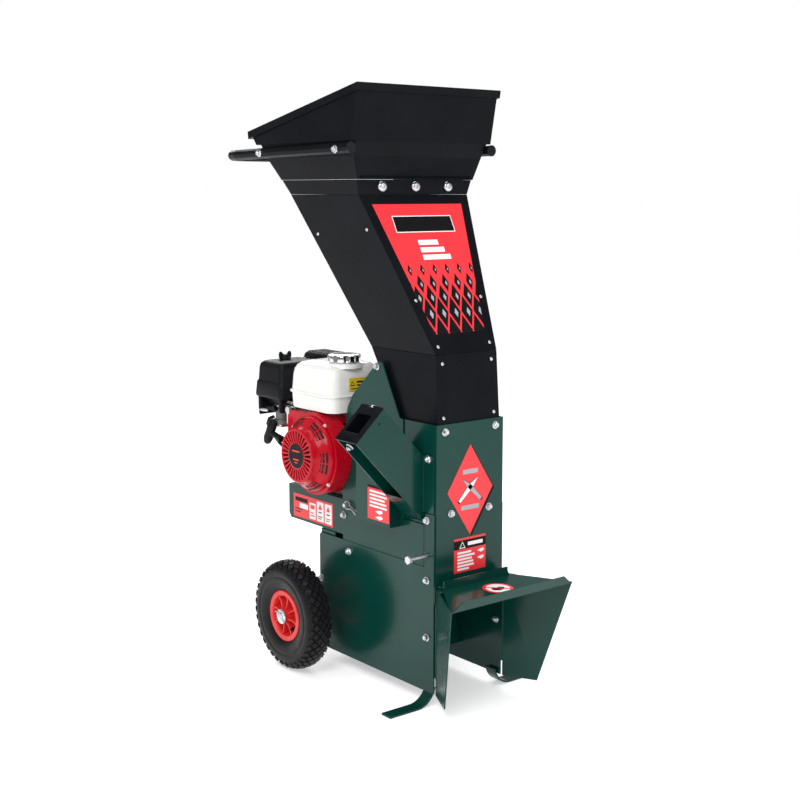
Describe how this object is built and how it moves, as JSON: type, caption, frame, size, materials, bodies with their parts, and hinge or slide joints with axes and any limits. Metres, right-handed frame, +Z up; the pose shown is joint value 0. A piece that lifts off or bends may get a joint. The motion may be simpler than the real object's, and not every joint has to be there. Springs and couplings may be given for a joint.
{
  "type": "wood chipper",
  "caption": "Upright garden wood chipper and shredder: tall black feed hopper, green rotor housing with side chipper chute, small petrol engine, push handle, two wheels and bent bar feet.",
  "frame": {"origin": "on the ground, at the middle of the machine's footprint box", "axes": "+Z up, -Y towards the discharge hood at the front, -X towards the side chipper chute"},
  "size_m": [0.5152, 0.8384, 1.352],
  "materials": {
    "green_paint": "deep gloss powder coat",
    "black_paint": "satin powder coat",
    "engine_red": "gloss enamel",
    "engine_white": "gloss enamel",
    "red_plastic": "moulded",
    "black_plastic": "moulded, fine grain",
    "tyre": "treaded rubber",
    "zinc": "bright zinc plate",
    "steel": "machined",
    "cast_alloy": "as cast",
    "chrome": "polished",
    "belt_rubber": "fabric faced rubber"
  },
  "bodies": {
    "chassis": {"left_skirt_panel": "green_paint", "right_skirt_panel": "green_paint", "left_cheek_plate": "green_paint", "right_cheek_plate": "green_paint", "inlet_housing": "green_paint", "housing_wrapper": "green_paint", "rear_panel": "green_paint", "discharge_hood": "green_paint", "chipper_chute": "green_paint", "chute_mouth_frame": "black_paint", "bearing_guard": "green_paint", "funnel_lower_box": "black_paint", "funnel_body": "black_paint", "hopper_collar": "black_paint", "hopper_hood": "black_paint", "handle_tube": "black_paint", "handle_end_cap_left": "black_plastic", "handle_end_cap_right": "black_plastic", "engine_base": "green_paint", "axle": "zinc", "left_foot": "green_paint", "right_foot": "green_paint", "side_peg_bolt": "zinc", "left_bearing": "cast_alloy", "right_bearing": "cast_alloy", "drive_belt": "belt_rubber", "belt_guard": "green_paint", "engine_block": "cast_alloy", "fan_cover": "engine_red", "recoil_housing": "engine_red", "fuel_tank": "engine_white", "air_cleaner": "black_plastic", "carburettor": "cast_alloy", "muffler": "steel", "muffler_guard": "black_paint", "spark_plug_cap": "black_plastic"},
    "left_wheel": {"left_tyre": "tyre", "left_wheel_rim": "red_plastic"},
    "right_wheel": {"right_tyre": "tyre", "right_wheel_rim": "red_plastic"},
    "rotor": {"rotor_shaft": "steel", "rotor_disc": "steel", "rotor_blade_1": "steel", "rotor_blade_2": "steel", "rotor_pulley": "cast_alloy"},
    "hammer_1": {"rotor_hammer_1": "steel"},
    "hammer_2": {"rotor_hammer_2": "steel"},
    "crank": {"crankshaft": "steel", "clutch_pulley": "cast_alloy"},
    "starter_grip": {"recoil_handle": "black_plastic"},
    "tank_cap": {"fuel_cap": "chrome"},
    "cleaner_knob": {"air_cleaner_knob": "black_plastic"},
    "throttle": {"throttle_lever": "zinc"},
    "choke": {"choke_lever": "black_plastic"},
    "fuel_valve": {"fuel_valve_lever": "black_plastic"},
    "stop_switch": {"engine_switch": "red_plastic"},
    "dipstick": {"oil_dipstick": "black_plastic"},
    "pin": {"hitch_pin": "zinc", "hairpin_clip": "zinc"}
  },
  "joints": [
    {"name": "left_wheel_spin", "type": "hinge", "parent": "chassis", "child": "left_wheel", "pos_m": [-0.16743, 0.13775, 0.13], "axis": [1, 0, 0], "continuous": true},
    {"name": "right_wheel_spin", "type": "hinge", "parent": "chassis", "child": "right_wheel", "pos_m": [0.22457, 0.13775, 0.13], "axis": [1, 0, 0], "continuous": true},
    {"name": "rotor_spin", "type": "hinge", "parent": "chassis", "child": "rotor", "pos_m": [0.02857, -0.10325, 0.468], "axis": [1, 0, 0], "continuous": true},
    {"name": "hammer_1_swing", "type": "hinge", "parent": "rotor", "child": "hammer_1", "pos_m": [0.02857, -0.04527, 0.52598], "axis": [1, 0, 0], "range_deg": [-60, 60]},
    {"name": "hammer_2_swing", "type": "hinge", "parent": "rotor", "child": "hammer_2", "pos_m": [0.02857, -0.16123, 0.41002], "axis": [1, 0, 0], "range_deg": [-60, 60]},
    {"name": "crank_spin", "type": "hinge", "parent": "chassis", "child": "crank", "pos_m": [0.02857, 0.12475, 0.513], "axis": [1, 0, 0], "continuous": true},
    {"name": "starter_pull", "type": "slide", "parent": "chassis", "child": "starter_grip", "axis": [0, 0.9747, 0.2234], "range_m": [0, 0.25]},
    {"name": "tank_cap_turn", "type": "hinge", "parent": "chassis", "child": "tank_cap", "pos_m": [-0.04343, 0.09275, 0.74], "axis": [0, 0, 1], "range_deg": [0, 90]},
    {"name": "cleaner_knob_turn", "type": "hinge", "parent": "chassis", "child": "cleaner_knob", "pos_m": [-0.04343, 0.34275, 0.715], "axis": [0, 0, 1], "range_deg": [0, 180]},
    {"name": "throttle_swing", "type": "hinge", "parent": "chassis", "child": "throttle", "pos_m": [-0.08743, 0.26475, 0.596], "axis": [1, 0, 0], "range_deg": [-20, 20]},
    {"name": "choke_swing", "type": "hinge", "parent": "chassis", "child": "choke", "pos_m": [-0.08143, 0.33475, 0.59], "axis": [1, 0, 0], "range_deg": [0, 40]},
    {"name": "fuel_valve_swing", "type": "hinge", "parent": "chassis", "child": "fuel_valve", "pos_m": [-0.08343, 0.33475, 0.552], "axis": [1, 0, 0], "range_deg": [0, 45]},
    {"name": "stop_switch_turn", "type": "hinge", "parent": "chassis", "child": "stop_switch", "pos_m": [-0.08143, 0.23475, 0.54], "axis": [0, 1, 0], "range_deg": [0, 35]},
    {"name": "dipstick_turn", "type": "hinge", "parent": "chassis", "child": "dipstick", "pos_m": [-0.00143, 0.20375, 0.44], "axis": [0, 1, 0], "range_deg": [0, 350]},
    {"name": "pin_draw", "type": "slide", "parent": "chassis", "child": "pin", "axis": [-1, 0, 0], "range_m": [0, 0.05]}
  ],
  "couplings": [
    {"joint": "crank_spin", "follows": "rotor_spin", "ratio": 0.8066}
  ]
}
